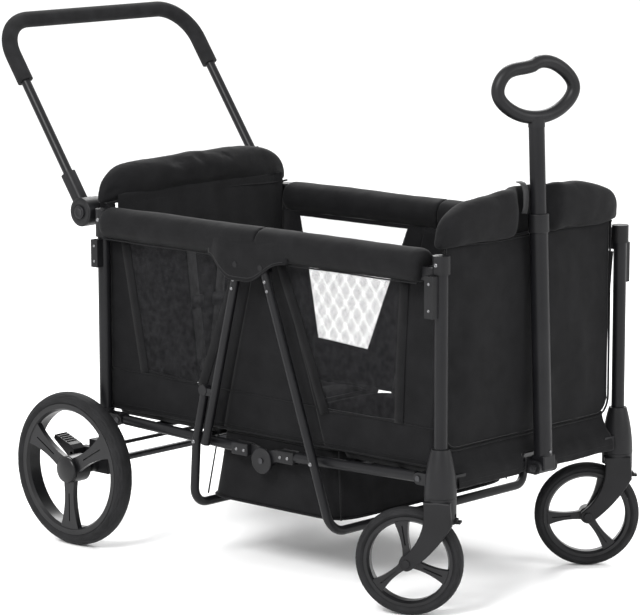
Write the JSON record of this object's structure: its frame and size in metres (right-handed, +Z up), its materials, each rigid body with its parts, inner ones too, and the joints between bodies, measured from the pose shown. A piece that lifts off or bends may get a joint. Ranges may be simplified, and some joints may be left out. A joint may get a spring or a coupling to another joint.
{
  "type": "folding pull wagon",
  "caption": "Folding fabric wagon for children: steel frame with centre hinges, spoked wheels, front casters, footwell, push handle and telescopic pull handle.",
  "frame": {"origin": "on the floor, under the middle of the whole wagon's box", "axes": "+X towards the pull-handle end, +Y to the wagon's left, +Z up"},
  "size_m": [1.2224, 0.698, 1.0215],
  "materials": {
    "frame_paint": "black powder coat, satin",
    "pad_fabric": "black coated polyester",
    "tub_fabric": "black woven polyester",
    "cushion_fabric": "quilted black polyester",
    "black_plastic": "fine-grained moulded nylon",
    "button_plastic": "satin moulded",
    "rim_plastic": "satin moulded",
    "tyre_rubber": "matt moulded foam rubber",
    "grip_foam": "fine-pored foam",
    "dark_steel": "black zinc plated"
  },
  "bodies": {
    "rear_frame": {"rear_posts": "frame_paint", "rear_corners": "black_plastic", "rear_canopy_sockets": "black_plastic", "rear_brackets": "black_plastic", "rear_axle": "dark_steel", "rear_frame_pins": "dark_steel", "rear_panel": "tub_fabric", "rear_cap": "pad_fabric", "side_fabric_rear": "tub_fabric"},
    "brake": {"brake_rod": "frame_paint", "brake_pedal": "black_plastic"},
    "rear_wheel_left": {"rear_tyre_left": "tyre_rubber", "rear_rim_left": "rim_plastic"},
    "rear_wheel_right": {"rear_tyre_right": "tyre_rubber", "rear_rim_right": "rim_plastic"},
    "push_handle": {"push_handle_tube": "frame_paint", "push_handle_grip": "grip_foam", "push_handle_hubs": "black_plastic"},
    "push_button_left": {"push_handle_button_left": "button_plastic"},
    "push_button_right": {"push_handle_button_right": "button_plastic"},
    "rear_floor": {"lower_rails_rear": "frame_paint", "centre_hinges_rear": "black_plastic", "floor_pad_rear": "cushion_fabric"},
    "front_floor": {"lower_rails_front": "frame_paint", "centre_hinges_front": "black_plastic", "centre_hinge_pins": "dark_steel", "floor_pad_front": "cushion_fabric"},
    "front_frame": {"front_posts": "frame_paint", "front_corners": "black_plastic", "front_housings": "black_plastic", "front_canopy_sockets": "black_plastic", "front_cross_bar": "frame_paint", "front_frame_pins": "dark_steel", "pull_handle_bracket": "black_plastic", "pull_handle_bolt": "dark_steel", "front_panel": "tub_fabric", "front_cap": "pad_fabric", "side_fabric_front": "tub_fabric"},
    "rear_top": {"top_rails_rear": "frame_paint", "top_pads_rear": "pad_fabric"},
    "front_top": {"top_rails_front": "frame_paint", "top_pads_front": "pad_fabric"},
    "leg_hub": {"leg_hubs": "frame_paint", "side_fabric_centre": "tub_fabric", "footwell_bag": "tub_fabric"},
    "rear_leg_frame": {"rear_legs": "frame_paint", "footwell_bar_rear": "frame_paint"},
    "front_leg_frame": {"front_legs": "frame_paint"},
    "caster_left": {"caster_fork_left": "black_plastic"},
    "caster_right": {"caster_fork_right": "black_plastic"},
    "front_wheel_left": {"front_tyre_left": "tyre_rubber", "front_rim_left": "rim_plastic"},
    "front_wheel_right": {"front_tyre_right": "tyre_rubber", "front_rim_right": "rim_plastic"},
    "swivel_lock_left_body": {"swivel_lock_left": "black_plastic"},
    "swivel_lock_right_body": {"swivel_lock_right": "black_plastic"},
    "pull_handle": {"pull_handle_outer_tube": "frame_paint", "pull_handle_collar": "black_plastic"},
    "pull_handle_slide": {"pull_handle_inner_tube": "frame_paint", "pull_handle_grip": "black_plastic"}
  },
  "joints": [
    {"name": "fold", "type": "hinge", "parent": "rear_frame", "child": "rear_floor", "pos_m": [-0.25605, 0, 0.2495], "axis": [0, -1, 0], "range_deg": [0, 75], "deforming": ["side_fabric_rear", "side_fabric_centre", "side_fabric_front", "footwell_bag", "top_pads_rear", "top_pads_front"]},
    {"name": "front_floor_fold", "type": "hinge", "parent": "rear_floor", "child": "front_floor", "pos_m": [0.13295, 0, 0.225], "axis": [0, 1, 0], "range_deg": [0, 150]},
    {"name": "front_frame_fold", "type": "hinge", "parent": "front_floor", "child": "front_frame", "pos_m": [0.52195, 0, 0.2495], "axis": [0, -1, 0], "range_deg": [0, 75]},
    {"name": "rear_top_fold", "type": "hinge", "parent": "rear_frame", "child": "rear_top", "pos_m": [-0.25605, 0, 0.62], "axis": [0, -1, 0], "range_deg": [0, 75]},
    {"name": "front_top_fold", "type": "hinge", "parent": "front_frame", "child": "front_top", "pos_m": [0.52195, 0, 0.62], "axis": [0, 1, 0], "range_deg": [0, 75]},
    {"name": "leg_hub_fold", "type": "hinge", "parent": "rear_top", "child": "leg_hub", "pos_m": [0.13295, 0, 0.5955], "axis": [0, 1, 0], "range_deg": [0, 75]},
    {"name": "rear_leg_fold", "type": "hinge", "parent": "leg_hub", "child": "rear_leg_frame", "pos_m": [0.08995, 0, 0.5955], "axis": [0, -1, 0], "range_deg": [0, 19.5]},
    {"name": "front_leg_fold", "type": "hinge", "parent": "leg_hub", "child": "front_leg_frame", "pos_m": [0.15495, 0, 0.5955], "axis": [0, 1, 0], "range_deg": [0, 20.25]},
    {"name": "push_handle_hinge", "type": "hinge", "parent": "rear_frame", "child": "push_handle", "pos_m": [-0.34805, 0, 0.65], "axis": [0, -1, 0], "range_deg": [-20, 100]},
    {"name": "push_button_left_press", "type": "slide", "parent": "push_handle", "child": "push_button_left", "axis": [0, -1, 0], "range_m": [0, 0.004], "stiffness_N_per_m": 300},
    {"name": "push_button_right_press", "type": "slide", "parent": "push_handle", "child": "push_button_right", "axis": [0, 1, 0], "range_m": [0, 0.004], "stiffness_N_per_m": 300},
    {"name": "rear_wheel_left_spin", "type": "hinge", "parent": "rear_frame", "child": "rear_wheel_left", "pos_m": [-0.32505, 0.322, 0.1515], "axis": [0, 1, 0], "continuous": true},
    {"name": "rear_wheel_right_spin", "type": "hinge", "parent": "rear_frame", "child": "rear_wheel_right", "pos_m": [-0.32505, -0.322, 0.1515], "axis": [0, 1, 0], "continuous": true},
    {"name": "brake_press", "type": "hinge", "parent": "rear_frame", "child": "brake", "pos_m": [-0.35905, 0, 0.172], "axis": [0, -1, 0], "range_deg": [0, 22]},
    {"name": "pull_handle_hinge", "type": "hinge", "parent": "front_frame", "child": "pull_handle", "pos_m": [0.59295, 0, 0.239], "axis": [0, 1, 0], "range_deg": [0, 80]},
    {"name": "pull_handle_telescope", "type": "slide", "parent": "pull_handle", "child": "pull_handle_slide", "axis": [-0.0384, 0, 0.9993], "range_m": [-0.098, 0.08]},
    {"name": "caster_left_swivel", "type": "hinge", "parent": "front_frame", "child": "caster_left", "pos_m": [0.56495, 0.258, 0.221], "axis": [0, 0, 1], "continuous": true},
    {"name": "front_wheel_left_spin", "type": "hinge", "parent": "caster_left", "child": "front_wheel_left", "pos_m": [0.52296, 0.22019, 0.1], "axis": [-0.6691, 0.7431, 0], "continuous": true},
    {"name": "swivel_lock_left_lift", "type": "slide", "parent": "caster_left", "child": "swivel_lock_left_body", "axis": [0, 0, 1], "range_m": [0, 0.005]},
    {"name": "caster_right_swivel", "type": "hinge", "parent": "front_frame", "child": "caster_right", "pos_m": [0.56495, -0.258, 0.221], "axis": [0, 0, 1], "continuous": true},
    {"name": "front_wheel_right_spin", "type": "hinge", "parent": "caster_right", "child": "front_wheel_right", "pos_m": [0.51483, -0.28409, 0.1], "axis": [-0.4617, 0.887, 0], "continuous": true},
    {"name": "swivel_lock_right_lift", "type": "slide", "parent": "caster_right", "child": "swivel_lock_right_body", "axis": [0, 0, 1], "range_m": [0, 0.005]}
  ],
  "couplings": [
    {"joint": "front_floor_fold", "follows": "fold", "ratio": 2},
    {"joint": "front_frame_fold", "follows": "fold", "ratio": 1},
    {"joint": "rear_top_fold", "follows": "fold", "ratio": 1},
    {"joint": "front_top_fold", "follows": "fold", "ratio": 1},
    {"joint": "leg_hub_fold", "follows": "fold", "ratio": 1},
    {"joint": "rear_leg_fold", "follows": "fold", "ratio": 0.26},
    {"joint": "front_leg_fold", "follows": "fold", "ratio": 0.27}
  ]
}
